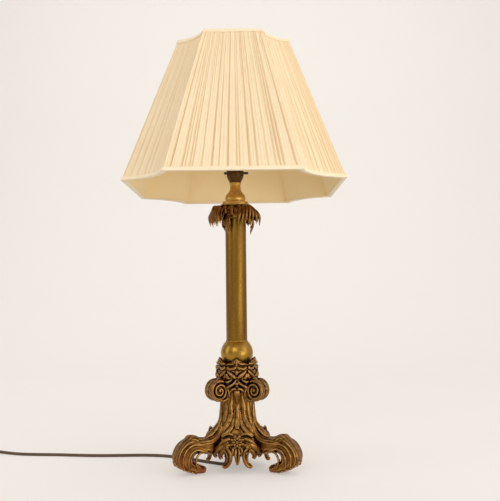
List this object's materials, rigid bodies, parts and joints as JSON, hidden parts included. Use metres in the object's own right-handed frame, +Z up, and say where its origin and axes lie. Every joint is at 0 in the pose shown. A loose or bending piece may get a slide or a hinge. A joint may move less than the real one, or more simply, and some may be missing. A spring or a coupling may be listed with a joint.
{
  "type": "column table lamp",
  "caption": "Table lamp with scrolled feet, a waisted pedestal, a ball and plain column, a leaf capital and a pleated shade with scooped corners.",
  "frame": {"origin": "on the floor, on the lamp's axis", "axes": "+Z up along the column; -Y faces the viewer; +X to the viewer's right"},
  "size_m": [0.8591, 0.406, 0.8135],
  "materials": {
    "antique_brass": "cast, darkened in the hollows, rubbed bright on the high places",
    "bronzed_leaf": "cast, dark bronze-brown patina with tan highlights",
    "polished_brass": "satin lacquered",
    "holder_brass": "darkened brass",
    "plated_steel": "zinc plated",
    "contact_brass": "bright",
    "insulator_ceramic": "glazed",
    "push_bar_black": "moulded, smooth",
    "bulb_opal": "opal white",
    "bulb_stem_white": "moulded",
    "frame_wire": "white dip coat",
    "pleated_cloth": "fine knife pleats, cream",
    "lining_cloth": "smooth woven, warm cream",
    "trim_tape": "folded tape, cream",
    "bush_black": "moulded",
    "flex_brown": "round sheathed flex",
    "tie_black": "moulded band",
    "plug_brown": "moulded"
  },
  "bodies": {
    "base": {"pedestal_casting": "antique_brass", "foot_right": "antique_brass", "foot_rear": "antique_brass", "foot_left": "antique_brass", "volute_right": "antique_brass", "volute_rear": "antique_brass", "volute_left": "antique_brass", "foot_screws": "plated_steel", "volute_screws": "plated_steel", "apron_front": "antique_brass", "apron_rear_right": "antique_brass", "apron_rear_left": "antique_brass", "rosettes": "antique_brass", "base_plate": "plated_steel", "plate_screws": "plated_steel", "crown_collar": "antique_brass", "ball": "polished_brass", "column_foot_ring": "polished_brass", "column_tube": "polished_brass", "capital_collar": "bronzed_leaf", "frond_left": "bronzed_leaf", "frond_right": "bronzed_leaf", "frond_rear": "bronzed_leaf", "lower_leaves": "bronzed_leaf", "capital_ring": "bronzed_leaf", "gallery_flange": "polished_brass", "bell_cap": "polished_brass", "neck": "polished_brass", "tie_rod": "plated_steel", "tie_washer": "plated_steel", "tie_nut": "plated_steel", "lampholder_body": "holder_brass", "lampholder_insulator": "insulator_ceramic", "lampholder_barrel": "holder_brass", "plunger_spring_front": "plated_steel", "plunger_spring_rear": "plated_steel", "shade_carrier": "holder_brass", "cord_bush": "bush_black", "inner_flex": "flex_brown", "cord_run": "flex_brown", "cord_coil": "flex_brown", "cord_tie": "tie_black", "plug_body": "plug_brown", "plug_pins": "contact_brass"},
    "push_bar": {"push_bar": "push_bar_black"},
    "clamp_ring": {"clamp_ring": "holder_brass"},
    "shade": {"shade_frame": "frame_wire", "shade_cover": "pleated_cloth", "shade_lining": "lining_cloth", "shade_trim_bottom": "trim_tape", "shade_trim_top": "trim_tape"},
    "bulb": {"bulb_cap": "plated_steel", "bulb_glass": "bulb_opal", "bulb_stem": "bulb_stem_white"},
    "plunger_front": {"plunger_front": "contact_brass"},
    "plunger_rear": {"plunger_rear": "contact_brass"}
  },
  "joints": [
    {"name": "push_bar_slide", "type": "slide", "parent": "base", "child": "push_bar", "axis": [1, 0, 0], "range_m": [-0.0037, 0]},
    {"name": "shade_turn", "type": "hinge", "parent": "base", "child": "shade", "pos_m": [0, 0, 0.7505], "axis": [0, 0, 1], "continuous": true},
    {"name": "clamp_ring_turn", "type": "hinge", "parent": "base", "child": "clamp_ring", "pos_m": [0, 0, 0.5765], "axis": [0, 0, 1], "range_deg": [0, 90]},
    {"name": "bulb_push", "type": "slide", "parent": "base", "child": "bulb", "axis": [0, 0, -1], "range_m": [0, 0.0025], "stiffness_N_per_m": 1500, "springref_m": -0.002},
    {"name": "plunger_front_slide", "type": "slide", "parent": "base", "child": "plunger_front", "axis": [0, 0, -1], "range_m": [0, 0.0025], "deforming": ["plunger_spring_front"]},
    {"name": "plunger_rear_slide", "type": "slide", "parent": "base", "child": "plunger_rear", "axis": [0, 0, -1], "range_m": [0, 0.0025], "deforming": ["plunger_spring_rear"]}
  ],
  "couplings": [
    {"joint": "plunger_front_slide", "follows": "bulb_push", "ratio": 1},
    {"joint": "plunger_rear_slide", "follows": "bulb_push", "ratio": 1}
  ]
}
